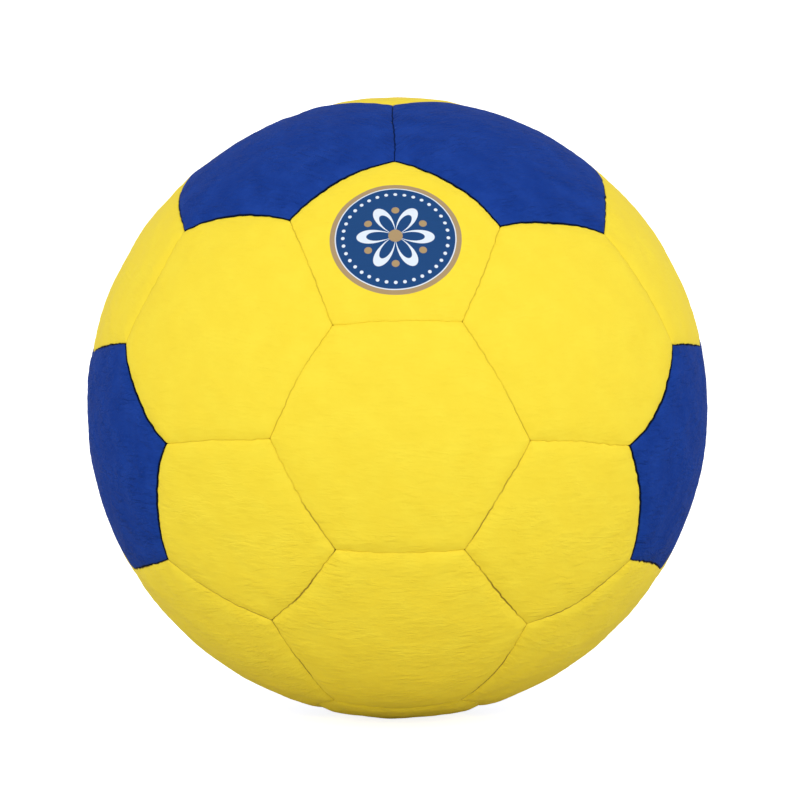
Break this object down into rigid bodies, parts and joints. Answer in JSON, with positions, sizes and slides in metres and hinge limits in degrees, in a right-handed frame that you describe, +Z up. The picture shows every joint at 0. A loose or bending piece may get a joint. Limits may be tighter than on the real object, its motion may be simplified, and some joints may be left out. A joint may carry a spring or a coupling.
{
  "type": "handball",
  "caption": "Inflated team handball with a stitched leather cover of pentagons and hexagons over foam, a textile lining and a rubber bladder with a needle valve.",
  "frame": {"origin": "centre of the ball", "axes": "+Y out through the valve, -Y out through the front hexagon, +Z up through the seam between two blue hexagons above the front pentagon, X across"},
  "size_m": [0.188, 0.1879, 0.188],
  "materials": {
    "yellow_leather": "synthetic leather, satin, fine grain",
    "blue_leather": "synthetic leather, satin, fine grain",
    "foam": "closed cell foam",
    "lining_cloth": "woven polyester cotton",
    "seam_thread": "waxed polyester",
    "bladder_rubber": "smooth",
    "valve_rubber": "moulded, matt",
    "core_rubber": "moulded, matt"
  },
  "bodies": {
    "root": {"yellow_pentagon_1": "yellow_leather", "yellow_pentagon_2": "yellow_leather", "yellow_pentagon_3": "yellow_leather", "yellow_pentagon_4": "yellow_leather", "yellow_pentagon_5": "yellow_leather", "yellow_pentagon_6": "yellow_leather", "yellow_pentagon_7": "yellow_leather", "yellow_pentagon_8": "yellow_leather", "yellow_pentagon_9": "yellow_leather", "yellow_pentagon_10": "yellow_leather", "yellow_pentagon_11": "yellow_leather", "yellow_pentagon_12": "yellow_leather", "yellow_hexagon_1": "yellow_leather", "yellow_hexagon_2": "yellow_leather", "yellow_hexagon_3": "yellow_leather", "yellow_hexagon_4": "yellow_leather", "yellow_hexagon_5": "yellow_leather", "yellow_hexagon_6": "yellow_leather", "yellow_hexagon_7": "yellow_leather", "yellow_hexagon_8": "yellow_leather", "yellow_hexagon_9": "yellow_leather", "yellow_hexagon_10": "yellow_leather", "yellow_hexagon_11": "yellow_leather", "valve_hexagon": "yellow_leather", "blue_hexagon_1": "blue_leather", "blue_hexagon_2": "blue_leather", "blue_hexagon_3": "blue_leather", "blue_hexagon_4": "blue_leather", "blue_hexagon_5": "blue_leather", "blue_hexagon_6": "blue_leather", "blue_hexagon_7": "blue_leather", "blue_hexagon_8": "blue_leather", "pentagon_foam_pads": "foam", "hexagon_foam_pads": "foam", "pentagon_linings": "lining_cloth", "hexagon_linings": "lining_cloth", "pentagon_seam_thread": "seam_thread", "hexagon_seam_thread": "seam_thread", "bladder": "bladder_rubber", "valve_body": "valve_rubber", "valve_core": "core_rubber"}
  },
  "joints": []
}
